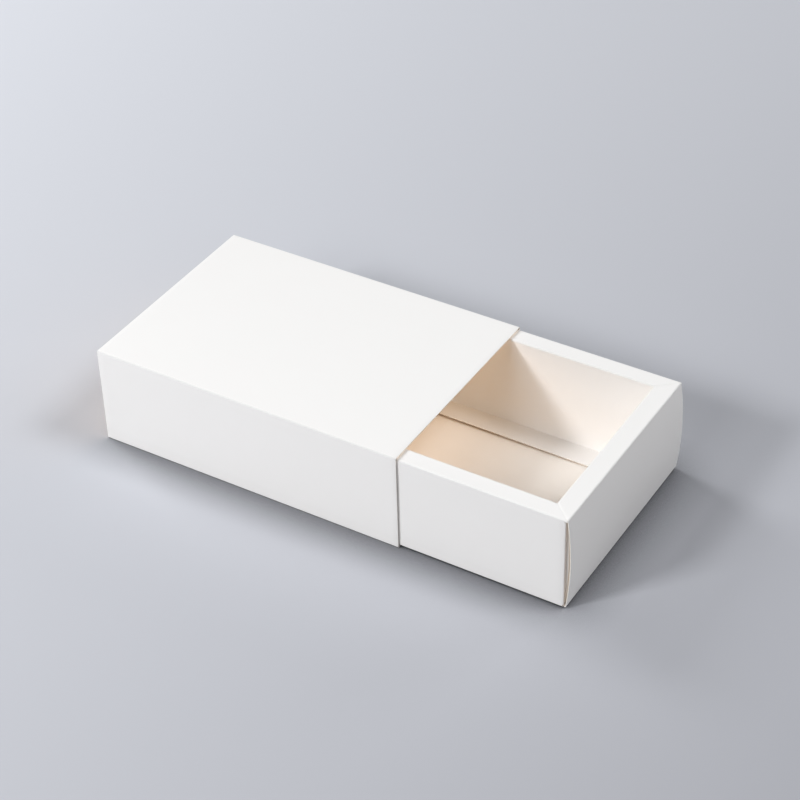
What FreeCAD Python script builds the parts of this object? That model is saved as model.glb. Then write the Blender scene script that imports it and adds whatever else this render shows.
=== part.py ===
import FreeCAD, Part
import math
import os

# Drawer gift box of folded paperboard: an open-ended sleeve and a hollow-walled tray that slides in it.
# Millimetres. The origin is the centre of the sleeve's underside, where the box stands on the table.
# +X is the way the tray draws out, +Z is up, and the front long side is the one that faces -Y.
# The sleeve and the tray are each one die-cut sheet. Every panel between two creases is its own solid,
# and it carries the crease that it hinges on, so neighbouring panels meet face to face.

# Board
BOARD = 0.5                     # thickness of the paperboard
FOLD_RADIUS = 0.4               # inside radius of a crease

# Sleeve
SLEEVE_LENGTH = 200.0
SLEEVE_WIDTH = 139.0
SLEEVE_HEIGHT = 63.3
GLUE_FLAP_WIDTH = 16.0
GLUE_FLAP_TAPER = 15.0          # degrees off square at the two ends of the glue flap
SEAM_SETBACK = 0.6              # bottom panel's cut edge, in from the face of the back panel

# Fits between the tray and the sleeve
SIDE_CLEARANCE = 0.5            # on each side, where the tray runs down the middle
SIDE_SHIFT = 0.3                # how far the tray lies off the middle, towards the back
TOP_CLEARANCE = 1.1
RUNNING_GAP = 0.1               # tray's base above the glue flap that it slides over
MOUTH_SETBACK = 0.5             # tray's end crease inside the sleeve's mouth when it is shut

# Tray
DRAWN_OUT = 103.7               # how far the tray stands out of the shut place in the photograph
RIM_WIDTH = 11.0                # outer face to inner face of a long hollow wall
END_RIM_WIDTH = 12.1            # the same of a hollow end wall
FLOOR_FLAP_WIDTH = 15.0
FLOOR_FLAP_RISE = 3.0           # degrees by which a floor flap springs up off the base
END_WALL_BOW = 8.6              # degrees by which an end wall leans out at its foot, and in at its rim
END_WALL_EDGE_GAP = 0.1         # cut edges of an end wall, in from the round of the long walls' creases
EAR_LENGTH = 30.0
EAR_TAPER = 12.0                # degrees off square along the top and foot of a corner ear
EAR_GAP = 0.2                   # corner ear to the inside of the end wall
EAR_END_GAP = 0.6               # corner ear to the crease above it and the crease below it
FOOT_GAP = 0.05                 # foot of an inner wall to the base
MITRE_SEAM = 0.15               # open seam where two rims meet at a corner
CORNER_RELIEF = 1.2             # radius of the notch that the die cuts at each corner of the base

FOLD_OUTSIDE = FOLD_RADIUS + BOARD
FOLD_MIDDLE = FOLD_RADIUS + BOARD / 2

TRAY_LENGTH = SLEEVE_LENGTH - 2 * MOUTH_SETBACK
TRAY_WIDTH = SLEEVE_WIDTH - 2 * BOARD - 2 * SIDE_CLEARANCE
TRAY_BOTTOM = 2 * BOARD + RUNNING_GAP
TRAY_TOP = SLEEVE_HEIGHT - BOARD - TOP_CLEARANCE
TRAY_HEIGHT = TRAY_TOP - TRAY_BOTTOM

UP = FreeCAD.Vector(0, 0, 1)
RIGHT = FreeCAD.Vector(1, 0, 0)
LEFT = FreeCAD.Vector(-1, 0, 0)
FRONT = FreeCAD.Vector(0, -1, 0)
BACK = FreeCAD.Vector(0, 1, 0)


def flat(length):
    """A straight run of board in a section."""
    return ("flat", length)


def bend(radius, degrees):
    """A bend in a section, on the board's middle line. It turns left where degrees is above zero."""
    return ("bend", radius, degrees)


def heading_vector(degrees):
    return FreeCAD.Vector(math.cos(math.radians(degrees)), math.sin(math.radians(degrees)), 0)


def left_of(degrees):
    return heading_vector(degrees + 90)


def step_edges(point, heading, step):
    """Left edge and right edge of one step of a section, with the point and heading where it ends."""
    half = BOARD / 2
    if step[0] == "flat":
        end = point + heading_vector(heading) * step[1]
        side = left_of(heading) * half
        left_edge = Part.LineSegment(point + side, end + side).toShape()
        right_edge = Part.LineSegment(point - side, end - side).toShape()
        return left_edge, right_edge, end, heading
    radius, turn = step[1], step[2]
    centre = point + left_of(heading) * math.copysign(radius, turn)

    def on_arc(offset, share):
        angle = heading + turn * share
        return centre - left_of(angle) * (math.copysign(radius, turn) - offset)

    left_edge = Part.Arc(*[on_arc(half, share) for share in (0, 0.5, 1)]).toShape()
    right_edge = Part.Arc(*[on_arc(-half, share) for share in (0, 0.5, 1)]).toShape()
    return left_edge, right_edge, on_arc(0, 1), heading + turn


def fold_section(point, heading, panels):
    """Faces of a folded strip of board seen end on, one for each panel: panels is (name, steps) pairs."""
    faces = {}
    for name, steps in panels:
        left_side, right_side = [], []
        for step in steps:
            left_edge, right_edge, point, heading = step_edges(point, heading, step)
            left_side.append(left_edge)
            right_side.append(right_edge)
        first_cap = Part.LineSegment(
            left_side[0].Vertexes[0].Point, right_side[0].Vertexes[0].Point).toShape()
        last_cap = Part.LineSegment(
            left_side[-1].Vertexes[1].Point, right_side[-1].Vertexes[1].Point).toShape()
        outline = Part.__sortEdges__(left_side + right_side + [first_cap, last_cap])
        faces[name] = Part.Face(Part.Wire(outline))
    return faces


def extrude_along_wall(face, outward, length):
    """Stand a section up, its first axis along outward and its second up, and extrude it both ways."""
    along = outward.cross(UP)
    solid = face.extrude(FreeCAD.Vector(0, 0, length))
    solid.translate(FreeCAD.Vector(0, 0, -length / 2))
    turn = FreeCAD.Rotation(outward, UP, along, "XYZ")
    solid.Placement = FreeCAD.Placement(FreeCAD.Vector(), turn).multiply(solid.Placement)
    return solid


def prism(points, direction):
    """A prism on a closed outline of points."""
    return Part.Face(Part.makePolygon(points + points[:1])).extrude(direction)


def sleeve_panels():
    """The tube: one strip wound round the tray, its glue flap lying inside on the bottom panel."""
    reach = SLEEVE_WIDTH / 2 - FOLD_OUTSIDE
    corner = bend(FOLD_MIDDLE, 90)
    flap_start = FreeCAD.Vector(reach - GLUE_FLAP_WIDTH, BOARD * 1.5, 0)
    sections = fold_section(flap_start, 0, [
        ("sleeve_glue_flap", [flat(GLUE_FLAP_WIDTH)]),
        ("sleeve_back_panel", [corner, flat(SLEEVE_HEIGHT - BOARD - 2 * FOLD_OUTSIDE)]),
        ("sleeve_top_panel", [corner, flat(2 * reach), corner]),
        ("sleeve_front_panel", [flat(SLEEVE_HEIGHT - 2 * FOLD_OUTSIDE), corner]),
        ("sleeve_bottom_panel", [flat(SLEEVE_WIDTH - FOLD_OUTSIDE - SEAM_SETBACK)]),
    ])
    panels = {name: extrude_along_wall(face, BACK, SLEEVE_LENGTH) for name, face in sections.items()}
    panels["sleeve_glue_flap"] = panels["sleeve_glue_flap"].common(glue_flap_blank(reach))
    return panels


def glue_flap_blank(hinge):
    """The glue flap's outline in plan, whose two ends taper from the hinge to the free edge."""
    free_edge = hinge - GLUE_FLAP_WIDTH
    root_half = SLEEVE_LENGTH / 2
    tip_half = root_half - GLUE_FLAP_WIDTH * math.tan(math.radians(GLUE_FLAP_TAPER))
    outline = [
        FreeCAD.Vector(-root_half, hinge, 0),
        FreeCAD.Vector(root_half, hinge, 0),
        FreeCAD.Vector(tip_half, free_edge, 0),
        FreeCAD.Vector(-tip_half, free_edge, 0),
    ]
    return prism(outline, UP * SLEEVE_HEIGHT)


def outer_wall_steps(bow):
    """Foot crease and outer panel of a hollow wall that leans out by bow degrees at its foot."""
    crease = 90 - bow
    if bow == 0:
        return [bend(FOLD_MIDDLE, crease), flat(TRAY_HEIGHT - 2 * FOLD_OUTSIDE)], crease
    lean = math.sin(math.radians(bow))
    chord = TRAY_HEIGHT - BOARD - 2 * FOLD_MIDDLE * (1 - lean)
    return [bend(FOLD_MIDDLE, crease), bend(chord / 2 / lean, 2 * bow)], crease


def tray_wall_sections(half_span, rim_width, bow):
    """One hollow wall from the base's edge, up, over the rim, down inside and on to the floor."""
    outer_steps, crease = outer_wall_steps(bow)
    start = FreeCAD.Vector(half_span - FOLD_OUTSIDE, TRAY_BOTTOM + BOARD / 2, 0)
    drop = TRAY_HEIGHT - BOARD - FOOT_GAP - 2 * FOLD_OUTSIDE
    return fold_section(start, 0, [
        ("outer_wall", outer_steps),
        ("rim", [
            bend(FOLD_MIDDLE, crease),
            flat(rim_width - 2 * FOLD_OUTSIDE),
            bend(FOLD_MIDDLE, 90),
        ]),
        ("inner_wall", [flat(drop), bend(FOLD_MIDDLE, -90 - FLOOR_FLAP_RISE)]),
        ("floor_flap", [flat(FLOOR_FLAP_WIDTH)]),
    ])


def mitre_blank(outward, half_span, half_length, rim_width, next_rim_width):
    """Plan of a wall, cut on the line from outer corner to inner corner, half a seam back from it."""
    along = outward.cross(UP)
    slant = next_rim_width / rim_width
    shortening = MITRE_SEAM / 2 * math.hypot(1, slant)
    depth = rim_width + FLOOR_FLAP_WIDTH + BOARD
    outer_half = half_length + BOARD * slant - shortening
    inner_half = half_length - depth * slant - shortening
    outline = [
        outward * (half_span + BOARD) + along * outer_half,
        outward * (half_span + BOARD) - along * outer_half,
        outward * (half_span - depth) - along * inner_half,
        outward * (half_span - depth) + along * inner_half,
    ]
    return prism(outline, UP * SLEEVE_HEIGHT)


def tray_wall(side, outward, half_span, half_length, outer_length, rim_widths, bow):
    """The four panels of one hollow wall; rim_widths are its own and that of the walls beside it."""
    blank = mitre_blank(outward, half_span, half_length, *rim_widths)
    panels = {}
    for name, face in tray_wall_sections(half_span, rim_widths[0], bow).items():
        if name == "outer_wall":
            solid = extrude_along_wall(face, outward, outer_length)
        else:
            solid = extrude_along_wall(face, outward, 2 * half_length).common(blank)
        panels["tray_%s_%s" % (side, name)] = solid
    return panels


def corner_ear(across, along):
    """Ear on the end of a long wall: it turns the corner and lies flat inside the end wall."""
    face_x = TRAY_LENGTH / 2 - BOARD - EAR_GAP
    turning = math.copysign(90, along.x * -across.y)
    start = along * (face_x - FOLD_OUTSIDE) + across * (TRAY_WIDTH / 2 - BOARD / 2)
    heading = 0 if along.x > 0 else 180
    section = fold_section(start, heading, [
        ("ear", [bend(FOLD_MIDDLE, turning), flat(EAR_LENGTH)]),
    ])["ear"]
    root_low = TRAY_BOTTOM + FOLD_OUTSIDE + EAR_END_GAP
    root_high = TRAY_TOP - FOLD_OUTSIDE - EAR_END_GAP
    solid = section.extrude(UP * (root_high - root_low))
    solid.translate(UP * root_low)
    taper = EAR_LENGTH * math.tan(math.radians(EAR_TAPER))
    hinge = across * (TRAY_WIDTH / 2 - FOLD_OUTSIDE)
    tip = across * (TRAY_WIDTH / 2 - FOLD_OUTSIDE - EAR_LENGTH)
    corner = across * TRAY_WIDTH / 2
    outline = [
        corner + UP * root_low,
        corner + UP * root_high,
        hinge + UP * root_high,
        tip + UP * (root_high - taper),
        tip + UP * (root_low + taper),
        hinge + UP * root_low,
    ]
    return solid.common(prism(outline, along * TRAY_LENGTH))


def tray_base():
    """The base panel, with a round notch at each corner where the creases of two walls run out."""
    half_x = TRAY_LENGTH / 2 - FOLD_OUTSIDE
    half_y = TRAY_WIDTH / 2 - FOLD_OUTSIDE
    base = Part.makeBox(2 * half_x, 2 * half_y, BOARD, FreeCAD.Vector(-half_x, -half_y, TRAY_BOTTOM))
    for x in (-half_x, half_x):
        for y in (-half_y, half_y):
            notch = Part.makeCylinder(CORNER_RELIEF, 3 * BOARD, FreeCAD.Vector(x, y, TRAY_BOTTOM - BOARD))
            base = base.cut(notch)
    return base


def tray_panels():
    """The tray, shut: base, four hollow walls and the four corner ears."""
    half_x, half_y = TRAY_LENGTH / 2, TRAY_WIDTH / 2
    long_wall = 2 * (half_x - BOARD - EAR_GAP - FOLD_OUTSIDE)
    end_wall = 2 * (half_y - FOLD_OUTSIDE - END_WALL_EDGE_GAP)
    panels = {"tray_base_panel": tray_base()}
    for side, across in (("front", FRONT), ("back", BACK)):
        rims = (RIM_WIDTH, END_RIM_WIDTH)
        panels.update(tray_wall(side, across, half_y, half_x, long_wall, rims, 0))
        for end, along in (("left", LEFT), ("right", RIGHT)):
            panels["tray_%s_%s_ear" % (side, end)] = corner_ear(across, along)
    for side, outward in (("left", LEFT), ("right", RIGHT)):
        rims = (END_RIM_WIDTH, RIM_WIDTH)
        panels.update(tray_wall(side, outward, half_x, half_y, end_wall, rims, END_WALL_BOW))
    return panels


def export(panels):
    os.makedirs("parts", exist_ok=True)
    for name, shape in panels.items():
        shape.exportStep("parts/%s.step" % name)
        print("%-26s %d solid, %9.2f mm3" % (name, len(shape.Solids), shape.Volume))


sleeve = sleeve_panels()
tray = tray_panels()
for panel in tray.values():
    panel.translate(RIGHT * DRAWN_OUT + BACK * SIDE_SHIFT)
export(sleeve)
export(tray)
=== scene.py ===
"""Looks of the drawer gift box: white paperboard folded into a sleeve and a hollow-walled tray."""

import logging
import math
from dataclasses import dataclass, field, replace
from enum import Enum

import bpy
from mathutils import Matrix, Vector


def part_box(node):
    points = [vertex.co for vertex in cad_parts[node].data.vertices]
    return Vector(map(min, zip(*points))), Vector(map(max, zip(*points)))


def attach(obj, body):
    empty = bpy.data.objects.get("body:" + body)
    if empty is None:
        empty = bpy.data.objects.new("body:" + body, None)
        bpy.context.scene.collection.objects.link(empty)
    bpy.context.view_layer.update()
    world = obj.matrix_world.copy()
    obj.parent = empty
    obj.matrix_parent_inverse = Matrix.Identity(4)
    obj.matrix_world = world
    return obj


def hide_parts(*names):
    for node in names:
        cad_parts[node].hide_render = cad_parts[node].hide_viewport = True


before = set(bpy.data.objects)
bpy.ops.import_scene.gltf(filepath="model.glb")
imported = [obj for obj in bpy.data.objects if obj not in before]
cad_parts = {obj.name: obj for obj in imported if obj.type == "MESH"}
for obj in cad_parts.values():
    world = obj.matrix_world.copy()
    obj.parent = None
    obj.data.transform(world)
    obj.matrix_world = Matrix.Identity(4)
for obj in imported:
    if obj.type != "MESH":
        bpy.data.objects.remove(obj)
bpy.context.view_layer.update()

log = logging.getLogger("drawer_gift_box")

Colour = tuple[float, float, float]
Socket = bpy.types.NodeSocket

UP = Vector((0.0, 0.0, 1.0))
FRONT = Vector((0.0, -1.0, 0.0))
BACK = Vector((0.0, 1.0, 0.0))
LEFT = Vector((-1.0, 0.0, 0.0))
RIGHT = Vector((1.0, 0.0, 0.0))
DAYLIGHT: Colour = (0.975, 1.0, 1.03)


def placed(name: str, data: bpy.types.ID) -> bpy.types.Object:
    """Put an object into the scene.

    Args:
        name: name of the object.
        data: its mesh, lamp or camera.

    Returns:
        The object.
    """
    thing = bpy.data.objects.new(name, data)
    bpy.context.scene.collection.objects.link(thing)
    return thing


class NodeBench:
    """Short ways to add nodes to a tree, set them and join them."""

    def __init__(self, tree: bpy.types.NodeTree) -> None:
        """Work on that tree."""
        self.tree = tree

    def node(
        self, kind: str, values: dict[str | int, object] | None = None, **settings: object
    ) -> bpy.types.Node:
        """Add a node.

        Args:
            kind: type of the node.
            values: sockets or constants for its inputs, by the input's name or number.
            settings: its properties.

        Returns:
            The node.
        """
        node = self.tree.nodes.new(kind)
        for name, value in settings.items():
            setattr(node, name, value)
        for key, value in (values or {}).items():
            self.give(node.inputs[key], value)
        return node

    def give(self, socket: Socket, value: object) -> None:
        """Join an output to an input, or set the input to a constant.

        Args:
            socket: the input.
            value: the output or the constant.
        """
        if isinstance(value, Socket):
            self.tree.links.new(value, socket)
        else:
            socket.default_value = value

    def number(self, operation: str, *values: object) -> Socket:
        """A number worked out from sockets or constants by a Math node's operation."""
        return self.node("ShaderNodeMath", dict(enumerate(values)), operation=operation).outputs[0]

    def vector(self, operation: str, *values: object) -> Socket:
        """A vector, or the number of a dot product, worked out from sockets or constants.

        Args:
            operation: name of the Vector Math node's operation.
            values: sockets or constants, in order; a scale comes last.

        Returns:
            The result's socket.
        """
        keys = (0, "Scale" if operation == "SCALE" else 1)
        node = self.node("ShaderNodeVectorMath", dict(zip(keys, values)), operation=operation)
        return node.outputs["Value" if operation == "DOT_PRODUCT" else "Vector"]

    def combined(self, **parts: Socket) -> Socket:
        """A vector with the parts X, Y and Z, of which one that isn't given is zero."""
        return self.node("ShaderNodeCombineXYZ", parts).outputs["Vector"]

    def ranged(
        self, value: Socket, span: tuple[float, float], result: tuple[object, object] = (0.0, 1.0)
    ) -> Socket:
        """A value carried over from one range to another, and held within it.

        Args:
            value: the value.
            span: the range that it comes from.
            result: the range that it goes to, as sockets or constants.

        Returns:
            The result's socket.
        """
        names = ("Value", "From Min", "From Max", "To Min", "To Max")
        values = dict(zip(names, (value, *span, *result)))
        return self.node("ShaderNodeMapRange", values).outputs["Result"]

    def mixed(self, share: Socket, first: Colour | Socket, second: Colour | Socket) -> Socket:
        """A colour between two colours.

        Args:
            share: share of the second colour.
            first: the first colour, linear.
            second: the second colour, linear.

        Returns:
            The colour's socket.
        """
        values = {"Factor": share}
        for name, colour in (("A", first), ("B", second)):
            values[name] = (*colour, 1.0) if isinstance(colour, tuple) else colour
        return self.node("ShaderNodeMix", values, data_type="RGBA").outputs["Result"]

    def light_path(self, question: str) -> Socket:
        """The answer to one question of a Light Path node, 1 for yes."""
        return self.node("ShaderNodeLightPath").outputs[question]


class EndCut(Enum):
    """How the die cuts the two ends of a panel."""

    SQUARE = "straight across"
    MITRE = "from the outer corner to the inner one, to meet the next wall"
    TAPER = "narrowing from the hinge to the free edge"


@dataclass(frozen=True)
class Panel:
    """One run of board between creases, or one crease, in the section of a folded strip.

    Attributes:
        length: run of a flat panel, or arc length of a bend, on the board's middle line.
        turn: degrees that the panel turns to the left, zero for a flat one.
        half_width: half of the panel's width across the strip, where it starts.
        cut: how its two ends are cut.
        slope: degrees off square, for tapered ends.
        crease: True where the panel is a crease, which is stiff and has a bead on its inside.
        lift: how far a flap's free edge springs, as a share of the strip's own spring.
        bulge: how far it bulges where it starts and where it ends, as shares of the strip's bulge.
        crack: share of its brightness that painted shade takes in the middle of a crease, which dims
            the crease's highlight.
    """

    length: float
    turn: float = 0.0
    half_width: float = 0.0
    cut: EndCut = EndCut.SQUARE
    slope: float = 0.0
    crease: bool = False
    lift: float = 0.0
    bulge: tuple[float, float] = (0.0, 0.0)
    crack: float = 0.0


@dataclass(frozen=True)
class RailPoint:
    """One point of a strip's middle line, with what the sweep needs to know there.

    Attributes:
        place: the point.
        outside: unit vector towards the sheet's outer face.
        half_width: half of the strip's width there.
        freedom: share of the sheet's unevenness that shows there, nothing at a crease.
        bead: extra thickness of a crease's inner bead.
        lift: share of the flap's spring.
        bulge: share of the strip's bulge.
        crack: share of its brightness that painted crease shade takes.
    """

    place: Vector
    outside: Vector
    half_width: float
    freedom: float
    bead: float
    lift: float
    bulge: float
    crack: float


@dataclass(frozen=True)
class CartonSizes:
    """Sizes of the box in metres, read from the frame.

    Attributes:
        board: thickness of the paperboard.
        crease: outer radius of a crease.
        low: lowest corner of the sleeve.
        high: highest corner of the sleeve.
        tray_low: lowest corner of the tray's rims and base.
        tray_high: highest corner of the tray's rims and base.
        rim: width of a long hollow wall.
        end_rim: width of an end hollow wall.
        end_bow: how far an end wall bulges past its own creases.
        end_half: half of the width of an end wall's outer panel.
        long_half: half of the length of a long wall's outer panel.
        floor_flap: width of a floor flap.
        glue_flap: width of the sleeve's glue flap.
        seam_setback: the bottom panel's cut edge, in from the face of the back panel.
        ear_low: lower end of an ear at its hinge.
        ear_high: upper end of an ear at its hinge.
        ear_reach: length of an ear past its crease.
        ear_face: how far an ear's outer face is from the tray's middle.
    """

    board: float
    crease: float
    low: Vector
    high: Vector
    tray_low: Vector
    tray_high: Vector
    rim: float
    end_rim: float
    end_bow: float
    end_half: float
    long_half: float
    floor_flap: float
    glue_flap: float
    seam_setback: float
    ear_low: float
    ear_high: float
    ear_reach: float
    ear_face: float

    @classmethod
    def from_frame(cls) -> "CartonSizes":
        """Read every size from the boxes of the frame's nodes.

        Returns:
            The sizes of the box.
        """
        base_low, base_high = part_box("tray_base_panel")
        rim_low, rim_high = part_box("tray_front_rim")
        back_rim_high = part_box("tray_back_rim")[1]
        left_rim_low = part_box("tray_left_rim")[0]
        right_rim_low, right_rim_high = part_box("tray_right_rim")
        end_low, end_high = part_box("tray_right_outer_wall")
        wall_low, wall_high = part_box("tray_front_outer_wall")
        flap_low, flap_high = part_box("tray_front_floor_flap")
        glue_low, glue_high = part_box("sleeve_glue_flap")
        ear_low, ear_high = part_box("tray_front_right_ear")
        top_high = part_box("sleeve_top_panel")[1]
        bottom_low, bottom_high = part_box("sleeve_bottom_panel")
        board = base_high.z - base_low.z
        crease = rim_high.z - rim_low.z
        tray_low = Vector((left_rim_low.x, rim_low.y, base_low.z))
        tray_high = Vector((right_rim_high.x, back_rim_high.y, rim_high.z))
        return cls(
            board=board,
            crease=crease,
            low=Vector((bottom_low.x, -top_high.y, bottom_low.z)),
            high=top_high,
            tray_low=tray_low,
            tray_high=tray_high,
            rim=rim_high.y - rim_low.y,
            end_rim=right_rim_high.x - right_rim_low.x,
            end_bow=end_high.x - right_rim_high.x,
            end_half=(end_high.y - end_low.y) / 2,
            long_half=(wall_high.x - wall_low.x) / 2,
            floor_flap=flap_high.y - flap_low.y,
            glue_flap=glue_high.y - glue_low.y,
            seam_setback=top_high.y - bottom_high.y,
            ear_low=ear_low.z,
            ear_high=ear_high.z,
            ear_reach=ear_high.y - ear_low.y - crease,
            ear_face=ear_high.x - (tray_low.x + tray_high.x) / 2,
        )

    @property
    def crease_middle(self) -> float:
        """Radius of a crease on the board's middle line."""
        return self.crease - self.board / 2

    @property
    def tray_middle(self) -> Vector:
        """Middle of the tray's underside."""
        return Vector((
            (self.tray_low.x + self.tray_high.x) / 2,
            (self.tray_low.y + self.tray_high.y) / 2,
            self.tray_low.z,
        ))


@dataclass(frozen=True)
class BoardFinish:
    """One face of the paperboard: its colour, its fibres and how smooth it is.

    Attributes:
        name: name of the finish.
        colour: base colour, linear.
        fibre_colour: colour that the fibres and flecks drift to, linear.
        bounce_shade_colour: colour that the face takes only for light that bounces off it, linear:
            painted
        shade, which tints and deepens the shade on its neighbours apart from the colour seen.
        roughness: mean roughness.
        roughness_drift: how far the roughness wanders.
        fibre_size: length of a paper fibre's mark in metres.
        fibre_depth: height of the fibre relief in metres.
        fibre_pace: pace of the fibre pattern along X, the way of the grain, where 1 is that across.
        fibre_detail: finer and finer layers of the fibre pattern.
        fibre_breakup: strength of each finer layer.
        mottle_size: size of the cloudy patches in metres.
        mottle: share of the fibre colour in the patches.
        mottle_range: values of the patches' noise between which they come up.
        mottle_detail: finer and finer layers of the patches' noise.
    """

    name: str
    colour: Colour
    fibre_colour: Colour
    bounce_shade_colour: Colour = (0.96, 0.89, 0.82)
    roughness: float = 0.62
    roughness_drift: float = 0.08
    fibre_size: float = 0.0012
    fibre_depth: float = 0.00001
    fibre_pace: float = 0.35
    fibre_detail: float = 6.0
    fibre_breakup: float = 0.6
    mottle_size: float = 0.018
    mottle: float = 0.25
    mottle_range: tuple[float, float] = (0.35, 0.75)
    mottle_detail: float = 4.0

    def material(self) -> bpy.types.Material:
        """Build the node material of this face.

        Returns:
            A material that reads Object coordinates and the sheet's crack attribute, which holds
            painted crease shade.
        """
        material = bpy.data.materials.new(self.name)
        material.use_nodes = True
        bench = NodeBench(material.node_tree)
        shader = bench.tree.nodes["Principled BSDF"]
        place = bench.node("ShaderNodeTexCoord").outputs["Object"]
        mottle = bench.node("ShaderNodeTexNoise", {
            "Vector": place, "Scale": 1.0 / self.mottle_size, "Detail": self.mottle_detail})
        along_grain = bench.node(
            "ShaderNodeMapping", {"Vector": place, "Scale": (self.fibre_pace, 1.0, 1.0)})
        fibres = bench.node("ShaderNodeTexNoise", {
            "Vector": along_grain.outputs["Vector"], "Scale": 1.0 / self.fibre_size,
            "Detail": self.fibre_detail, "Roughness": self.fibre_breakup}).outputs["Fac"]

        patches = bench.ranged(mottle.outputs["Fac"], self.mottle_range, (0.0, self.mottle))
        tint = bench.mixed(patches, self.colour, self.fibre_colour)
        # painted shade: the crack attribute darkens the middle of some creases, which dims their
        # highlight
        crack = bench.node("ShaderNodeAttribute", attribute_name="crack").outputs["Fac"]
        crease_shaded = bench.mixed(crack, tint, (0.0, 0.0, 0.0))
        # painted shade: light bounced off this face takes bounce_shade_colour rather than the colour
        # seen, which tints and deepens the shade on its neighbours
        seen = bench.mixed(bench.light_path("Is Diffuse Ray"), crease_shaded, self.bounce_shade_colour)
        bench.give(shader.inputs["Base Color"], seen)

        smooth, rough = self.roughness - self.roughness_drift, self.roughness + self.roughness_drift
        bench.give(shader.inputs["Roughness"], bench.ranged(fibres, (0.0, 1.0), (smooth, rough)))
        relief = bench.node(
            "ShaderNodeBump", {"Strength": 1.0, "Distance": self.fibre_depth, "Height": fibres})
        bench.give(shader.inputs["Normal"], relief.outputs["Normal"])
        return material


@dataclass(frozen=True)
class BoardFinishes:
    """The three faces of one sheet.

    Attributes:
        outside: the coated outer face.
        inside: the bare inner face.
        cut: the raw cut edge.
    """

    outside: BoardFinish
    inside: BoardFinish
    cut: BoardFinish

    @classmethod
    def of_sheet(cls, sheet: str, coated_bounce_shade: Colour, bare_bounce_shade: Colour) -> "BoardFinishes":
        """The finishes of a sheet of white carton board.

        Args:
            sheet: name of the sheet, which the names of its finishes start with.
            coated_bounce_shade: colour of the coated face for bounced light, painted shade on its
                neighbours.
            bare_bounce_shade: colour of the bare face for bounced light, painted shade on its
                neighbours.

        Returns:
            The three finishes.
        """
        return cls(
            outside=BoardFinish(
                name=sheet + "_coated_face",
                colour=(0.905, 0.876, 0.843),
                fibre_colour=(0.890, 0.858, 0.822),
                bounce_shade_colour=coated_bounce_shade,
                roughness=0.55,
            ),
            inside=BoardFinish(
                name=sheet + "_bare_face",
                colour=(0.93, 0.88, 0.82),
                fibre_colour=(0.91, 0.85, 0.78),
                bounce_shade_colour=bare_bounce_shade,
                roughness=0.8,
                fibre_depth=0.00002,
                mottle=0.5,
            ),
            cut=BoardFinish(
                name=sheet + "_cut_edge",
                colour=(0.88, 0.84, 0.77),
                fibre_colour=(0.76, 0.69, 0.59),
                roughness=0.9,
                roughness_drift=0.05,
                fibre_size=0.0004,
                mottle_size=0.002,
                mottle=0.5,
            ),
        )

    def materials(self) -> dict[str, bpy.types.Material]:
        """Build the materials of the sheet.

        Returns:
            The materials by the name of the input that takes them.
        """
        return {
            "Outside finish": self.outside.material(),
            "Inside finish": self.inside.material(),
            "Cut edge finish": self.cut.material(),
        }


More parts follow.
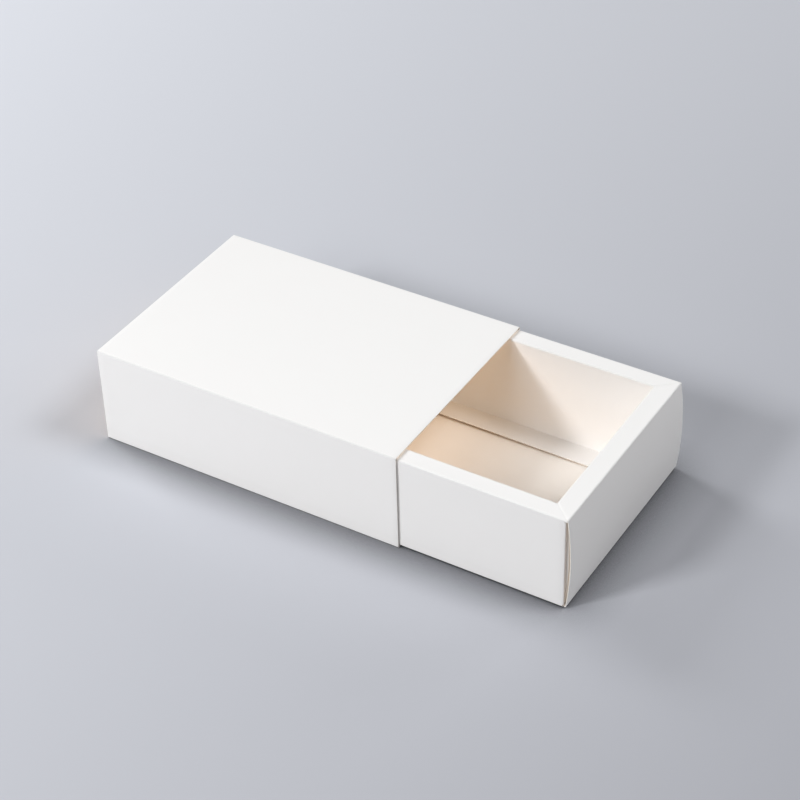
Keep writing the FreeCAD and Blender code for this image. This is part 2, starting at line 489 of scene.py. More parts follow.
class FoldedBoardTree(NodeBench):
    """Geometry Nodes tree that sweeps a strip's section into a folded sheet with a real thickness."""

    INPUTS = (
        ("Section", "NodeSocketGeometry"),
        ("Across", "NodeSocketVector"),
        ("Samples across", "NodeSocketInt"),
        ("Board thickness", "NodeSocketFloat"),
        ("Warp depth", "NodeSocketFloat"),
        ("Warp size", "NodeSocketFloat"),
        ("Seed", "NodeSocketInt"),
        ("Spring at start", "NodeSocketFloat"),
        ("Spring at end", "NodeSocketFloat"),
        ("Bulge depth", "NodeSocketFloat"),
        ("Outside finish", "NodeSocketMaterial"),
        ("Inside finish", "NodeSocketMaterial"),
        ("Cut edge finish", "NodeSocketMaterial"),
    )
    # power with which the unevenness fades towards a cut end, so that it fades late
    END_HOLD = 8.0
    # points that lie closer than this, in metres, are one
    WELD = 1e-7

    def __init__(self) -> None:
        """Build the tree once; every strip shares it."""
        super().__init__(bpy.data.node_groups.new("folded_board", "GeometryNodeTree"))
        for name, kind in self.INPUTS:
            self.tree.interface.new_socket(name=name, in_out="INPUT", socket_type=kind)
        self.tree.interface.new_socket(
            name="Sheet", in_out="OUTPUT", socket_type="NodeSocketGeometry")
        self.inputs = self.node("NodeGroupInput").outputs
        self._close(self._sweep())

    def _named(self, name: str, kind: str) -> Socket:
        """A value that the section's points carry, by its name and kind."""
        carried = self.node("GeometryNodeInputNamedAttribute", {"Name": name}, data_type=kind)
        return carried.outputs["Attribute"]

    def _moved(self, geometry: Socket, **how: Socket) -> Socket:
        """Move points.

        Args:
            geometry: what is moved.
            how: each point's offset or position, and the selection of the points that move.

        Returns:
            The moved geometry.
        """
        values = {name.capitalize(): value for name, value in how.items()}
        move = self.node("GeometryNodeSetPosition", {"Geometry": geometry, **values})
        return move.outputs["Geometry"]

    def _captured(self, geometry: Socket, value: Socket, kind: str) -> tuple[Socket, Socket]:
        """Hold a value on the points of a geometry.

        Args:
            geometry: what holds it.
            value: the value.
            kind: its type.

        Returns:
            The geometry and the held value.
        """
        capture = self.node("GeometryNodeCaptureAttribute")
        capture.capture_items.new(kind, "held")
        self.give(capture.inputs["Geometry"], geometry)
        self.give(capture.inputs[1], value)
        return capture.outputs["Geometry"], capture.outputs[1]

    def _sweep(self) -> Socket:
        """Sweep the section across the strip, warp it a little and spring its flap.

        Returns:
            The sheet's outer face.
        """
        section = self.node("GeometryNodeMeshToCurve", {"Mesh": self.inputs["Section"]})
        here = self.node("GeometryNodeInputPosition").outputs["Position"]
        rail, rail_place = self._captured(section.outputs["Curve"], here, "VECTOR")
        run = self.node("GeometryNodeSplineParameter").outputs["Length"]
        rail, rail_run = self._captured(rail, run, "FLOAT")

        line = self.node("GeometryNodeCurvePrimitiveLine", {"Start": LEFT, "End": RIGHT})
        samples = self.node("GeometryNodeResampleCurve", {
            "Curve": line.outputs["Curve"], "Count": self.inputs["Samples across"]})
        sideways_share = self.node("ShaderNodeSeparateXYZ", {"Vector": here}).outputs["X"]
        profile, share = self._captured(samples.outputs["Curve"], sideways_share, "FLOAT")
        sweep = self.node("GeometryNodeCurveToMesh", {"Curve": rail, "Profile Curve": profile})

        across = self.number("MULTIPLY", share, self._named("half_width", "FLOAT"))
        sideways = self.vector("SCALE", self.inputs["Across"], across)
        place = self.vector("ADD", rail_place, sideways)
        sheet = self._moved(sweep.outputs["Mesh"], position=place)

        outside = self._named("outside", "FLOAT_VECTOR")
        half_board = self.number("MULTIPLY", self.inputs["Board thickness"], 0.5)
        sheet = self._moved(sheet, offset=self.vector("SCALE", outside, half_board))
        sheet = self._moved(sheet, offset=self._warp(outside, rail_run, across, share))
        sheet = self._moved(sheet, offset=self._spring(share))
        sheet = self._moved(sheet, offset=self._bulge(outside, share))
        return self._unrolled(sheet, rail_run, across)

    def _warp(self, outside: Socket, run: Socket, across: Socket, share: Socket) -> Socket:
        """Slow unevenness of the sheet: inwards only, and nothing at a crease or a cut end.

        Args:
            outside: direction of the sheet's outer face.
            run: place along the section on the flat blank.
            across: place across the strip.
            share: the same as a share of the half width, from -1 to 1.

        Returns:
            The offset.
        """
        closeness = self.number("DIVIDE", 1.0, self.inputs["Warp size"])
        spot = self.vector("SCALE", self.combined(X=run, Y=across), closeness)
        seeded = self.vector("ADD", spot, self.combined(Z=self.inputs["Seed"]))
        humps = self.node("ShaderNodeTexNoise", {"Vector": seeded, "Scale": 1.0, "Detail": 1.0})
        depth = self.number("MULTIPLY", humps.outputs["Fac"], self.inputs["Warp depth"])
        depth = self.number("MULTIPLY", depth, self._named("freedom", "FLOAT"))
        cut_end = self.number("POWER", self.number("ABSOLUTE", share), self.END_HOLD)
        depth = self.number("MULTIPLY", depth, self.number("SUBTRACT", 1.0, cut_end))
        return self.vector("SCALE", outside, self.number("MULTIPLY", depth, -1.0))

    def _spring(self, share: Socket) -> Socket:
        """Lift of a flap's free edge, which differs from one end of the strip to the other.

        Args:
            share: place across the strip, from -1 to 1.

        Returns:
            The offset.
        """
        springs = (self.inputs["Spring at start"], self.inputs["Spring at end"])
        blend = self.ranged(share, (-1.0, 1.0), springs)
        return self.combined(Z=self.number("MULTIPLY", blend, self._named("lift", "FLOAT")))

    def _bulge(self, outside: Socket, share: Socket) -> Socket:
        """Outward bulge of a panel, full at the strip's middle and nothing at its ends.

        Args:
            outside: direction of the sheet's outer face.
            share: place across the strip, from -1 to 1.

        Returns:
            The offset.
        """
        belly = self.number("SUBTRACT", 1.0, self.number("MULTIPLY", share, share))
        depth = self.number("MULTIPLY", self.inputs["Bulge depth"], self._named("bulge", "FLOAT"))
        return self.vector("SCALE", outside, self.number("MULTIPLY", depth, belly))

    def _unrolled(self, sheet: Socket, run: Socket, across: Socket) -> Socket:
        """Keep each point's place on the flat blank, in metres, as the sheet's UV map.

        Args:
            sheet: the sheet.
            run: place along the section.
            across: place across the strip.

        Returns:
            The sheet with its UV map.
        """
        values = {"Name": "UVMap", "Geometry": sheet, "Value": self.combined(X=run, Y=across)}
        store = self.node(
            "GeometryNodeStoreNamedAttribute", values, data_type="FLOAT2", domain="CORNER")
        return store.outputs["Geometry"]

    def _flipped(self, mesh: Socket, faces: Socket | bool = True) -> Socket:
        """Turn some faces over, or all of them."""
        return self.node(
            "GeometryNodeFlipFaces", {"Mesh": mesh, "Selection": faces}).outputs["Mesh"]

    def _close(self, sheet: Socket) -> None:
        """Give the sheet its thickness and its cut edges, and dress its three faces.

        Args:
            sheet: the sheet's outer face.
        """
        outside = self._named("outside", "FLOAT_VECTOR")
        normal = self.node("GeometryNodeInputNormal").outputs["Normal"]
        facing = self.vector("DOT_PRODUCT", normal, outside)
        inward = self._flipped(sheet, self.number("GREATER_THAN", facing, 0.0))
        extrude = self.node(
            "GeometryNodeExtrudeMesh", {"Mesh": inward, "Offset Scale": 0.0, "Individual": False})
        depth = self.number("ADD", self.inputs["Board thickness"], self._named("bead", "FLOAT"))
        through = self.vector("SCALE", outside, self.number("MULTIPLY", depth, -1.0))
        shell = self._moved(
            extrude.outputs["Mesh"], offset=through, selection=extrude.outputs["Top"])

        join = self.node("GeometryNodeJoinGeometry", {"Geometry": shell})
        self.give(join.inputs["Geometry"], self._flipped(inward))
        sheet = join.outputs["Geometry"]
        steps = (
            ("GeometryNodeMergeByDistance", {"Distance": self.WELD}),
            ("GeometryNodeSetShadeSmooth", {}),
            ("GeometryNodeRealizeInstances", {}),
        )
        for kind, values in steps:
            sheet = self.node(kind, {"Geometry": sheet, **values}).outputs["Geometry"]
        faces = (
            ("Outside finish", True),
            ("Inside finish", extrude.outputs["Top"]),
            ("Cut edge finish", extrude.outputs["Side"]),
        )
        for name, selection in faces:
            finish = self.node("GeometryNodeSetMaterial", {
                "Geometry": sheet, "Material": self.inputs[name], "Selection": selection})
            sheet = finish.outputs["Geometry"]
        self.give(self.node("NodeGroupOutput").inputs["Sheet"], sheet)

    def identifier(self, name: str) -> str:
        """Identifier of the input of that name."""
        return next(
            item.identifier for item in self.tree.interface.items_tree
            if item.name == name and item.in_out == "INPUT")


@dataclass
class BoardStrip:
    """A folded strip of board: a section that is swept across to both sides of its middle.

    Attributes:
        name: name of the piece.
        body: body that the piece rides on.
        slot: material slot of the record; not used.
        replaces: nodes of the frame that the piece stands for.
        start: where the section starts, on the board's middle line.
        forward: direction of the section's first run before any turn.
        upward: direction that a left turn leads to.
        panels: the section's runs and creases, in order.
        board: thickness of the board.
        seed: seed of the unevenness.
        mitre_reach: half of the wall's full length, for mitred ends.
        mitre_face: place of the wall's outer face along forward, for mitred ends.
        mitre_slope: how much shorter a mitred end gets per metre of depth.
        seam: half of the open seam of a mitred corner.
        flat_step: spacing of the points on a flat run.
        support: distance of the first point from each end of a flat run.
        crease_steps: steps round a crease.
        samples: points across the strip.
        warp: depth of the sheet's slow unevenness.
        warp_size: size of its humps and hollows.
        springs: lift of the flap's free edge at the two ends of the strip.
        bulge_depth: how far the strip bulges outwards at its middle.
        bead: extra thickness of the bead on the inside of a crease.
        cut_round: rounding of the cut edges.
        cut_steps: steps round a cut edge.
        cut_turn: least turn in degrees between two faces that makes a cut edge.
        sharp_turn: least turn in degrees that is shaded as a sharp edge.
        rail: the section's points, once it has been walked.
    """

    name: str
    body: str
    slot: str
    replaces: tuple[str, ...]
    start: Vector
    forward: Vector
    upward: Vector
    panels: tuple[Panel, ...]
    board: float
    seed: int
    mitre_reach: float = 0.0
    mitre_face: float = 0.0
    mitre_slope: float = 1.0
    seam: float = 0.0
    flat_step: float = 0.004
    support: float = 0.0005
    crease_steps: int = 10
    samples: int = 49
    warp: float = 0.00012
    warp_size: float = 0.07
    springs: tuple[float, float] = (0.0, 0.0)
    bulge_depth: float = 0.0
    bead: float = 0.00012
    cut_round: float = 0.00006
    cut_steps: int = 2
    cut_turn: float = 60.0
    sharp_turn: float = 25.0
    rail: list[RailPoint] = field(default_factory=list)

    def walk(self) -> None:
        """Walk the section and note a rail point at each step."""
        place = self.start.copy()
        heading = 0.0
        for panel in self.panels:
            for share in self._shares(panel):
                at, angle = self._along(place, heading, panel, share)
                self.rail.append(self._point(at, angle, panel, share))
            place, heading = self._along(place, heading, panel, 1.0)

    def _shares(self, panel: Panel) -> list[float]:
        """Where on a panel the rail points lie.

        Args:
            panel: the panel.

        Returns:
            Shares of its length, from 0 to 1.
        """
        if panel.crease:
            return [i / self.crease_steps for i in range(self.crease_steps + 1)]
        runs = max(2, round(panel.length / self.flat_step))
        if panel.length < 4 * self.support:
            return [i / runs for i in range(runs + 1)]
        edge = self.support / panel.length
        inner = [edge + (1.0 - 2.0 * edge) * i / runs for i in range(runs + 1)]
        return [0.0, *inner, 1.0]

    def _along(
        self, place: Vector, heading: float, panel: Panel, share: float
    ) -> tuple[Vector, float]:
        """Place and heading at a share of the panel's length.

        Args:
            place: where the panel starts.
            heading: its direction there, in radians.
            panel: the panel.
            share: how far along it, from 0 to 1.

        Returns:
            The place and the heading.
        """
        run = panel.length * share
        if panel.turn == 0.0:
            return place + self._direction(heading) * run, heading
        turn = math.radians(panel.turn)
        radius = panel.length / turn
        centre = place + self._direction(heading + math.pi / 2) * radius
        angle = heading + turn * share
        return centre - self._direction(angle + math.pi / 2) * radius, angle

    def _direction(self, heading: float) -> Vector:
        """Unit vector of a heading in the section's plane."""
        return self.forward * math.cos(heading) + self.upward * math.sin(heading)

    def _point(self, place: Vector, heading: float, panel: Panel, share: float) -> RailPoint:
        """Rail point at a share of a panel.

        Args:
            place: the point.
            heading: the section's heading there.
            panel: the panel.
            share: how far along the panel, from 0 to 1.

        Returns:
            The rail point.
        """
        hump = math.sin(math.pi * share) ** 2
        free_end = panel.lift > 0.0 or panel is self.panels[-1]
        freedom = math.sin(math.pi / 2 * share) if free_end else math.sin(math.pi * share)
        return RailPoint(
            place=place,
            outside=self._direction(heading - math.pi / 2),
            half_width=self._half_width(place, panel, share),
            freedom=0.0 if panel.crease else freedom,
            bead=self.bead * hump if panel.crease else 0.0,
            lift=panel.lift * share,
            bulge=panel.bulge[0] + (panel.bulge[1] - panel.bulge[0]) * share,
            crack=panel.crack * math.sin(math.pi * share),
        )

    def _half_width(self, place: Vector, panel: Panel, share: float) -> float:
        """Half of the strip's width at a rail point.

        Args:
            place: the point.
            panel: the panel that it lies on.
            share: how far along the panel, from 0 to 1.

        Returns:
            The half width, which its ends' cut may narrow.
        """
        if panel.cut is EndCut.MITRE:
            depth = self.mitre_face - place.dot(self.forward)
            seam = self.seam * math.hypot(1.0, self.mitre_slope)
            return self.mitre_reach - depth * self.mitre_slope - seam
        if panel.cut is EndCut.TAPER:
            return panel.half_width - panel.length * share * math.tan(math.radians(panel.slope))
        return panel.half_width

    def build(self, tree: FoldedBoardTree, finishes: dict[str, bpy.types.Material]) -> None:
        """Make the strip's piece, dress it and let it ride its body.

        Args:
            tree: the shared Geometry Nodes tree.
            finishes: the sheet's materials by input name.
        """
        self.walk()
        maker = self._rail_object()
        sweep = maker.modifiers.new("fold", "NODES")
        sweep.node_group = tree.tree
        values = {
            "Across": tuple(self.forward.cross(self.upward)),
            "Samples across": self.samples,
            "Board thickness": self.board,
            "Warp depth": self.warp,
            "Warp size": self.warp_size,
            "Seed": self.seed,
            "Spring at start": self.springs[0],
            "Spring at end": self.springs[1],
            "Bulge depth": self.bulge_depth,
            **finishes,
        }
        for name, value in values.items():
            sweep[tree.identifier(name)] = value
        edge = maker.modifiers.new("die_cut_round", "BEVEL")
        edge.width = self.cut_round
        edge.segments = self.cut_steps
        edge.limit_method = "ANGLE"
        edge.angle_limit = math.radians(self.cut_turn)
        piece = self._baked(maker)
        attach(piece, self.body)
        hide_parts(*self.replaces)
        log.info("%s: %d faces", self.name, len(piece.data.polygons))

    def _rail_object(self) -> bpy.types.Object:
        """The section as a chain of edges that carries the sweep's values on its points.

        Returns:
            The object that the strip is made on.
        """
        mesh = bpy.data.meshes.new(self.name + "_section")
        edges = [(i, i + 1) for i in range(len(self.rail) - 1)]
        mesh.from_pydata([point.place for point in self.rail], edges, [])
        for name in ("half_width", "freedom", "bead", "lift", "bulge", "crack"):
            values = mesh.attributes.new(name, "FLOAT", "POINT")
            values.data.foreach_set("value", [getattr(point, name) for point in self.rail])
        outside = mesh.attributes.new("outside", "FLOAT_VECTOR", "POINT")
        flat = [number for point in self.rail for number in point.outside]
        outside.data.foreach_set("vector", flat)
        return placed(self.name + "_maker", mesh)

    def _baked(self, maker: bpy.types.Object) -> bpy.types.Object:
        """Turn the maker's result into a plain mesh piece and remove the maker.

        Args:
            maker: the object with the live modifiers.

        Returns:
            The piece.
        """
        graph = bpy.context.evaluated_depsgraph_get()
        mesh = bpy.data.meshes.new_from_object(maker.evaluated_get(graph), depsgraph=graph)
        mesh.name = self.name
        mesh.set_sharp_from_angle(angle=math.radians(self.sharp_turn))
        piece = placed(self.name, mesh)
        bpy.data.objects.remove(maker)
        return piece


@dataclass
class Sleeve:
    """The open-ended tube, wound from one strip and glued along its bottom back edge.

    Attributes:
        sizes: sizes of the box.
        flap_taper: degrees off square of the glue flap's ends.
        front_crease_shade: brightness that painted shade takes from the upper front crease, dimming
            its highlight.
        samples: points across the strip.
        seed: seed of the strip's unevenness.
        coated_bounce_shade: colour of the coated face for bounced light, linear; painted shade on its
            neighbours.
        bare_bounce_shade: colour of the bare face for bounced light, linear; painted shade on its
            neighbours.
    """

    sizes: CartonSizes
    flap_taper: float = 15.0
    front_crease_shade: float = 0.16
    samples: int = 57
    seed: int = 3
    # painted shade: the coated face's bounce colour is darker than its seen colour, which deepens the
    # shade by the sleeve's foot
    coated_bounce_shade: Colour = (0.85, 0.83, 0.81)
    bare_bounce_shade: Colour = (0.93, 0.88, 0.82)

    def strip(self) -> BoardStrip:
        """The sleeve's one strip, from the glue flap's free edge to the bottom panel's cut edge.

        Returns:
            The strip, not yet built.
        """
        s = self.sizes
        half = (s.high.x - s.low.x) / 2
        corner = Panel(math.radians(90.0) * s.crease_middle, 90.0, half, crease=True)
        # painted shade dims the highlight of the upper front crease
        front_corner = replace(corner, crack=self.front_crease_shade)
        height = s.high.z - s.low.z
        reach = s.high.y - s.crease
        tip_loss = s.glue_flap * math.tan(math.radians(self.flap_taper))
        flap_middle = s.low.z + s.board * 1.5
        return BoardStrip(
            name="sleeve_wrap",
            body="sleeve",
            slot="sleeve_board",
            replaces=(
                "sleeve_glue_flap", "sleeve_back_panel", "sleeve_top_panel",
                "sleeve_front_panel", "sleeve_bottom_panel"),
            start=Vector((0.0, reach - s.glue_flap, flap_middle)),
            forward=BACK,
            upward=UP,
            panels=(
                Panel(s.glue_flap, 0.0, half - tip_loss, EndCut.TAPER, -self.flap_taper),
                corner,
                Panel(height - s.board - 2 * s.crease, 0.0, half),
                corner,
                Panel(2 * reach, 0.0, half),
                front_corner,
                Panel(height - 2 * s.crease, 0.0, half),
                corner,
                Panel(reach + s.high.y - s.seam_setback, 0.0, half),
            ),
            samples=self.samples,
            board=s.board,
            seed=self.seed,
        )

    def fold(self, tree: FoldedBoardTree) -> None:
        """Build the sleeve's piece and dress it.

        Args:
            tree: the shared Geometry Nodes tree.
        """
        board = BoardFinishes.of_sheet("sleeve", self.coated_bounce_shade, self.bare_bounce_shade)
        self.strip().build(tree, board.materials())


@dataclass
class Tray:
    """The hollow-walled tray: a base, four walls folded over on themselves, and four corner ears.

    Attributes:
        sizes: sizes of the box.
        seam: half of the open seam between two mitred rims.
        cut_round: rounding of the walls' cut edges, which meet closely at the mitres.
        relief: how much shorter a long wall's outer panel is at each end than its hinge.
        end_reach: how much farther an end wall's outer panel reaches over each corner.
        outer_crease_shade: brightness that painted shade takes from the front rim's outer crease.
        inner_crease_shade: brightness that painted shade takes from the back rim's inner crease.
        ear_taper: degrees off square of an ear's upper and lower edges.
        ear_lean: degrees by which an ear first turns too far, which leaves a groove by its crease.
        ear_groove: run of each side of that groove.
        ear_bulge: how far an ear follows the bulge of the end wall.
        ear_samples: points across an ear.
        coated_bounce_shade: colour of the coated face for bounced light, linear; painted shade on its
            neighbours.
        bare_bounce_shade: colour of the bare face for bounced light, linear; painted shade on its
            neighbours.
        flap_springs: height at which each floor flap's free edge stands, at its two ends.
        seeds: seed of each strip's unevenness; an ear goes by its long wall and its end wall.
    """

    sizes: CartonSizes
    seam: float = 0.00001
    cut_round: float = 0.00002
    relief: float = 0.00045
    end_reach: float = 0.0005
    outer_crease_shade: float = 0.09
    inner_crease_shade: float = 0.14
    ear_taper: float = 12.0
    ear_lean: float = 35.0
    ear_groove: float = 0.0007
    ear_bulge: float = 0.0016
    ear_samples: int = 25
    # painted shade: the bare face's orange bounce colour warms the shade inside the tray
    coated_bounce_shade: Colour = (0.91, 0.90, 0.89)
    bare_bounce_shade: Colour = (0.80, 0.63, 0.46)
    flap_springs: dict[str, tuple[float, float]] = field(default_factory=lambda: {
        "front": (0.0008, 0.0008),
        "back": (0.0019, 0.0005),
        "left": (0.0008, 0.0008),
        "right": (0.0008, 0.0008),
    })
    seeds: dict[str, int] = field(default_factory=lambda: {
        "base": 11,
        "front": 20,
        "front_left": 32,
        "front_right": 33,
        "back": 21,
        "back_left": 35,
        "back_right": 36,
        "left": 40,
        "right": 41,
    })

    def wall(self, side: str, outward: Vector) -> BoardStrip:
        """One hollow wall, from the base's edge up, over the rim, down inside and on to the floor.

        Args:
            side: which wall.
            outward: its outward direction.

        Returns:
            The strip, not yet built.
        """
        s = self.sizes
        middle = s.tray_middle
        half_span = abs((s.tray_high - middle).dot(outward))
        end_wall = abs(outward.x) > 0.5
        half_length = (s.tray_high.y - middle.y) if end_wall else (s.tray_high.x - middle.x)
        outer_half = s.end_half + self.end_reach if end_wall else s.long_half - self.relief
        rim, next_rim = (s.end_rim, s.rim) if end_wall else (s.rim, s.end_rim)
        radius = s.crease_middle
        height = s.tray_high.z - s.tray_low.z
        bow = self._bow_angle(height) if end_wall else 0.0
        crease_turn = 90.0 - bow
        crease_run = math.radians(crease_turn) * radius
        chord = height - s.board - 2 * radius * (1 - math.sin(math.radians(bow)))
        if end_wall:
            wall_run = chord / 2 / math.sin(math.radians(bow)) * math.radians(2 * bow)
        else:
            wall_run = chord
        drop = height - s.board - 2 * s.crease
        quarter = math.radians(90.0) * radius
        return BoardStrip(
            name="tray_%s_wall" % side,
            body="tray",
            slot="tray_board",
            replaces=tuple(
                "tray_%s_%s" % (side, part)
                for part in ("outer_wall", "rim", "inner_wall", "floor_flap")),
            start=middle + outward * (half_span - s.crease) + UP * s.board / 2,
            forward=outward,
            upward=UP,
            panels=(
                Panel(crease_run, crease_turn, outer_half, crease=True),
                Panel(wall_run, 2 * bow, outer_half),
                # painted shade dims the front rim's outer crease and the back rim's inner crease
                Panel(
                    crease_run, crease_turn, 0.0, EndCut.MITRE, crease=True,
                    crack=self.outer_crease_shade if side == "front" else 0.0),
                Panel(rim - 2 * s.crease, 0.0, 0.0, EndCut.MITRE),
                Panel(
                    quarter, 90.0, 0.0, EndCut.MITRE, crease=True,
                    crack=self.inner_crease_shade if side == "back" else 0.0),
                Panel(drop, 0.0, 0.0, EndCut.MITRE),
                Panel(quarter, -90.0, 0.0, EndCut.MITRE, crease=True),
                Panel(s.floor_flap, 0.0, 0.0, EndCut.MITRE, lift=1.0),
            ),
            mitre_reach=half_length,
            mitre_face=(middle + outward * half_span).dot(outward),
            mitre_slope=next_rim / rim,
            cut_round=self.cut_round,
            seam=self.seam,
            springs=self.flap_springs[side],
            board=s.board,
            seed=self.seeds[side],
        )

    def _bow_angle(self, height: float) -> float:
        """Degrees by which a bowed wall leans at its creases, from how far it bulges."""
        s = self.sizes
        return math.degrees(2.0 * math.atan(2.0 * s.end_bow / (height - s.board)))

    def base(self) -> BoardStrip:
        """The base panel, swept along X from its front edge to its back edge.

        Returns:
            The strip, not yet built.
        """
        low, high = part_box("tray_base_panel")
        return BoardStrip(
            name="tray_base",
            body="tray",
            slot="tray_board",
            replaces=("tray_base_panel",),
            start=Vector(((low.x + high.x) / 2, low.y, (low.z + high.z) / 2)),
            forward=BACK,
            upward=UP,
            panels=(Panel(high.y - low.y, 0.0, (high.x - low.x) / 2),),
            board=self.sizes.board,
            seed=self.seeds["base"],
        )

    def ear(self, side: str, end: str, across: Vector, along: Vector) -> BoardStrip:
        """One corner ear: it turns the corner from the end of a long wall, inside the end wall.

        Args:
            side: the long wall that carries it.
            end: the end wall that it lies in.
            across: outward direction of the long wall.
            along: outward direction of the end wall.

        Returns:
            The strip, not yet built.
        """
        s = self.sizes
        middle = s.tray_middle
        face = abs((s.tray_high - middle).dot(across))
        half_height = (s.ear_high - s.ear_low) / 2
        hinge = s.ear_face - s.crease - self.relief
        start = middle + along * hinge + across * (face - s.board / 2)
        start.z = (s.ear_high + s.ear_low) / 2
        return BoardStrip(
            name="tray_%s_%s_ear_board" % (side, end),
            body="tray",
            slot="tray_board",
            replaces=("tray_%s_%s_ear" % (side, end),),
            start=start,
            forward=along,
            upward=-across,
            panels=(
                self._ear_bend(90.0 + self.ear_lean, half_height),
                Panel(self.ear_groove, 0.0, half_height),
                self._ear_bend(-2 * self.ear_lean, half_height),
                Panel(self.ear_groove, 0.0, half_height, bulge=(0.0, 1.0)),
                self._ear_bend(self.ear_lean, half_height, (1.0, 1.0)),
                Panel(
                    s.ear_reach - 3 * self.ear_groove, 0.0, half_height, EndCut.TAPER, self.ear_taper,
                    bulge=(1.0, 1.0)),
            ),
            bulge_depth=self.ear_bulge,
            samples=self.ear_samples,
            board=s.board,
            seed=self.seeds["%s_%s" % (side, end)],
        )

    def _ear_bend(
        self, turn: float, half_height: float, bulge: tuple[float, float] = (0.0, 0.0)
    ) -> Panel:
        """A bend of an ear.

        Args:
            turn: degrees to the left.
            half_height: half of the ear's height.
            bulge: its shares of the ear's bulge.

        Returns:
            The bend.
        """
        run = math.radians(abs(turn)) * self.sizes.crease_middle
        return Panel(run, turn, half_height, crease=True, bulge=bulge)

    def strips(self) -> list[BoardStrip]:
        """Every strip of the tray, in the order in which a maker folds them.

        Returns:
            The strips, not yet built.
        """
        ends = (("left", LEFT), ("right", RIGHT))
        strips = [self.base()]
        for side, across in (("front", FRONT), ("back", BACK)):
            strips.append(self.wall(side, across))
            strips.extend(self.ear(side, end, across, along) for end, along in ends)
        strips.extend(self.wall(end, along) for end, along in ends)
        return strips

    def fold(self, tree: FoldedBoardTree) -> None:
        """Build the tray's pieces and dress them.

        Args:
            tree: the shared Geometry Nodes tree.
        """
        board = BoardFinishes.of_sheet("tray", self.coated_bounce_shade, self.bare_bounce_shade)
        finishes = board.materials()
        for strip in self.strips():
            strip.build(tree, finishes)


@dataclass(frozen=True)
class Softbox:
    """A soft lamp that faces the box.

    Attributes:
        name: name of the lamp.
        bearing: degrees from +X towards +Y at which it stands.
        height: degrees above the floor at which it hangs.
        distance: distance from the box in metres.
        size: side of its square face in metres.
        level: light on a face that looks straight at it, as a share of the studio's plain level.
    """

    name: str
    bearing: float
    height: float
    distance: float
    size: float
    level: float

    def hang(self, aim: Vector) -> None:
        """Hang the lamp.

        Args:
            aim: the point that it faces.
        """
        bearing, height = math.radians(self.bearing), math.radians(self.height)
        level = Vector((math.cos(bearing), math.sin(bearing), 0.0))
        direction = level * math.cos(height) + UP * math.sin(height)
        data = bpy.data.lights.new(self.name, "AREA")
        data.size = self.size
        data.color = DAYLIGHT
        data.energy = self.level * (math.pi * self.distance) ** 2
        lamp = placed(self.name, data)
        lamp.location = aim + direction * self.distance
        lamp.rotation_euler = direction.to_track_quat("Z", "Y").to_euler()


@dataclass(frozen=True)
class TopPanelGlow:
    """Light that soaks through the sleeve's top panel, which the board's fibres turn warm.

    Attributes:
        sizes: sizes of the box.
        level: light on a face close under the panel, as a share of the studio's plain level.
        colour: colour of the light, linear.
        drop: distance below the panel's inner face, in metres.
        end_margin: bare run at each end of the panel, in boards.
        side_margin: bare run along each side of the panel, in boards.
    """

    sizes: CartonSizes
    level: float = 0.47
    colour: Colour = (1.0, 0.66, 0.35)
    drop: float = 0.0004
    end_margin: float = 2.0
    side_margin: float = 3.0

    def hang(self) -> None:
        """Hang the light under the panel."""
        s = self.sizes
        data = bpy.data.lights.new("top_panel_glow", "AREA")
        data.shape = "RECTANGLE"
        data.size = s.high.x - s.low.x - 2 * self.end_margin * s.board
        data.size_y = s.high.y - s.low.y - 2 * self.side_margin * s.board
        data.color = self.colour
        data.energy = self.level * math.pi * data.size * data.size_y
        glow = placed("top_panel_glow", data)
        glow.visible_camera = False
        middle = (s.low + s.high) / 2
        glow.location = (middle.x, middle.y, s.high.z - s.board - self.drop)


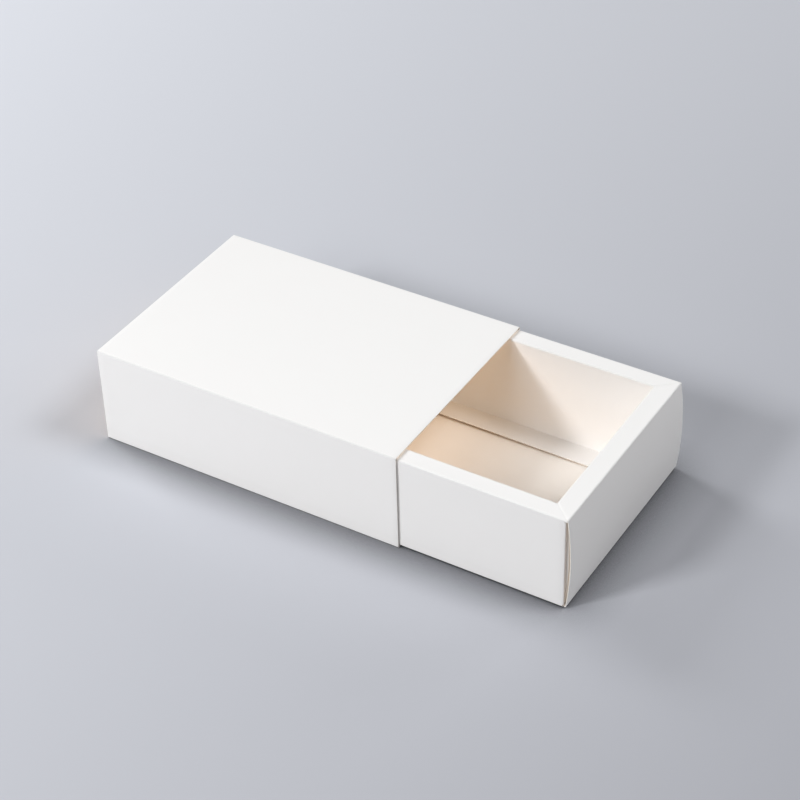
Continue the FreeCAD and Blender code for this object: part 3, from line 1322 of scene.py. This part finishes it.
@dataclass(frozen=True)
class PaleFloor:
    """A wide pale floor, painted deeper in tone towards the front right than towards the left as
    light fall-off, and painted with contact shade at the box's foot.

    Attributes:
        deep_colour: colour at the deep reach, linear.
        pale_colour: colour at the pale reach, linear.
        toward_pale: direction in which it grows paler.
        deep_reach: place of the deep colour along that direction, in metres.
        pale_reach: place of the pale colour along that direction, in metres.
        foot_reach: how far from the box its walls still keep the room's light off the floor.
        foot_shade: how strongly they do, where 1 is the share of the sky that they hide.
        foot_line: tone that is left right at the foot of a wall, on top of that shade.
        foot_closed: share of open sky up to which that line has its full depth.
        foot_open: share of open sky at which it has faded away.
        foot_rays: rays that feel for open sky.
        roughness: roughness of the paint.
        gloss: strength of its gloss.
        size: side of the floor in metres.
    """

    deep_colour: Colour = (0.402, 0.400, 0.423)
    pale_colour: Colour = (0.738, 0.742, 0.775)
    toward_pale: tuple[float, float, float] = (-0.978, 0.208, 0.0)
    deep_reach: float = -0.4
    pale_reach: float = 0.6
    foot_reach: float = 0.03
    foot_shade: float = 0.85
    foot_line: float = 0.58
    foot_closed: float = 0.4
    foot_open: float = 0.64
    foot_rays: int = 4
    roughness: float = 0.9
    gloss: float = 0.1
    size: float = 8.0

    def lay(self) -> None:
        """Lay the floor."""
        half = self.size / 2
        mesh = bpy.data.meshes.new("floor")
        corners = [(-half, -half, 0.0), (half, -half, 0.0), (half, half, 0.0), (-half, half, 0.0)]
        mesh.from_pydata(corners, [], [(0, 1, 2, 3)])
        mesh.materials.append(self.material())
        placed("floor", mesh)

    def material(self) -> bpy.types.Material:
        """Build the floor's material.

        Returns:
            A material that reads Object coordinates.
        """
        material = bpy.data.materials.new("pale_floor")
        material.use_nodes = True
        bench = NodeBench(material.node_tree)
        shader = bench.tree.nodes["Principled BSDF"]
        shader.inputs["Roughness"].default_value = self.roughness
        shader.inputs["Specular IOR Level"].default_value = self.gloss
        place = bench.node("ShaderNodeTexCoord").outputs["Object"]
        # painted light fall-off: the floor's colour is paler towards the left and deeper towards the
        # front right
        along = bench.vector("DOT_PRODUCT", place, self.toward_pale)
        paleness = bench.ranged(along, (self.deep_reach, self.pale_reach))
        tone = bench.mixed(paleness, self.deep_colour, self.pale_colour)
        feeler = bench.node(
            "ShaderNodeAmbientOcclusion", {"Distance": self.foot_reach}, samples=self.foot_rays)
        open_sky = feeler.outputs["AO"]
        shade = bench.number("POWER", open_sky, self.foot_shade)
        line = bench.ranged(open_sky, (self.foot_closed, self.foot_open), (self.foot_line, 1.0))
        foot = bench.number("MULTIPLY", shade, line)
        seen = bench.ranged(bench.light_path("Is Camera Ray"), (0.0, 1.0), (1.0, foot))
        bench.give(shader.inputs["Base Color"], bench.vector("SCALE", tone, seen))
        return material


@dataclass
class Studio:
    """Plain soft light, with the camera where the photograph was taken from.

    Attributes:
        target: point of the floor that the camera looks at.
        azimuth: degrees from -Y towards +X at which the camera stands.
        elevation: degrees above the floor.
        roll: degrees by which the camera leans.
        distance: camera to target in metres.
        focal: focal length in millimetres on the 36 mm sensor.
        room_level: light of the room, as a share of the plain level.
        backdrop_colour: colour that the camera sees behind the floor, linear.
        aim: point that the lamps face.
        lamps: the lamps.
    """

    target: Vector = field(default_factory=lambda: Vector((0.03157, 0.04594, 0.0)))
    azimuth: float = 32.091
    elevation: float = 37.502
    roll: float = 1.703
    distance: float = 1.3236
    focal: float = 99.180
    room_level: float = 0.01
    backdrop_colour: Colour = (0.62, 0.63, 0.68)
    aim: Vector = field(default_factory=lambda: Vector((0.05, 0.0, 0.03)))
    lamps: tuple[Softbox, ...] = (
        Softbox("left_softbox", 165.0, 35.0, 3.0, 0.90, 0.33),
        Softbox("left_high_softbox", 180.0, 55.0, 3.0, 0.90, 0.09),
        Softbox("front_softbox", 240.0, 35.0, 2.6, 0.52, 0.578),
        Softbox("front_card", 265.0, 35.0, 2.6, 0.78, 0.21),
        Softbox("camera_card", 320.0, 35.0, 3.0, 0.90, 0.05),
        Softbox("right_high_softbox", 20.0, 55.0, 3.0, 0.90, 0.35),
        Softbox("right_low_card", 20.0, 15.0, 3.0, 0.90, 0.035),
        Softbox("back_right_card", 60.0, 20.0, 1.7, 0.60, 0.16),
    )

    def build(self) -> None:
        """Set the stage."""
        self.camera()
        PaleFloor().lay()
        self.room()
        for lamp in self.lamps:
            lamp.hang(self.aim)
        bpy.context.scene.view_settings.view_transform = "Standard"

    def camera(self) -> None:
        """Stand the camera at the photograph's place."""
        a, e, r = (math.radians(v) for v in (self.azimuth, self.elevation, self.roll))
        away = Vector((math.sin(a) * math.cos(e), -math.cos(a) * math.cos(e), math.sin(e)))
        right = (-away).cross(UP).normalized()
        down = (-away).cross(right)
        leaning_right = right * math.cos(r) + down * math.sin(r)
        leaning_up = right * math.sin(r) - down * math.cos(r)
        data = bpy.data.cameras.new("camera")
        data.lens = self.focal
        camera = placed("camera", data)
        turn = Matrix((leaning_right, leaning_up, away)).transposed()
        camera.matrix_world = Matrix.Translation(self.target + away * self.distance) @ turn.to_4x4()
        bpy.context.scene.camera = camera

    def room(self) -> None:
        """Set the light of the room, and the backdrop that the camera sees in its place."""
        world = bpy.data.worlds.new("room")
        world.use_nodes = True
        bench = NodeBench(world.node_tree)
        light = tuple(self.room_level * channel for channel in DAYLIGHT)
        seen = bench.mixed(bench.light_path("Is Camera Ray"), light, self.backdrop_colour)
        bench.give(world.node_tree.nodes["Background"].inputs["Color"], seen)
        bpy.context.scene.world = world


def main() -> None:
    """Build the box and the studio, in order."""
    logging.basicConfig(level=logging.INFO, format="%(message)s")
    sizes = CartonSizes.from_frame()
    tree = FoldedBoardTree()
    Sleeve(sizes).fold(tree)
    Tray(sizes).fold(tree)
    Studio().build()
    TopPanelGlow(sizes).hang()


if __name__ == "__main__":
    main()
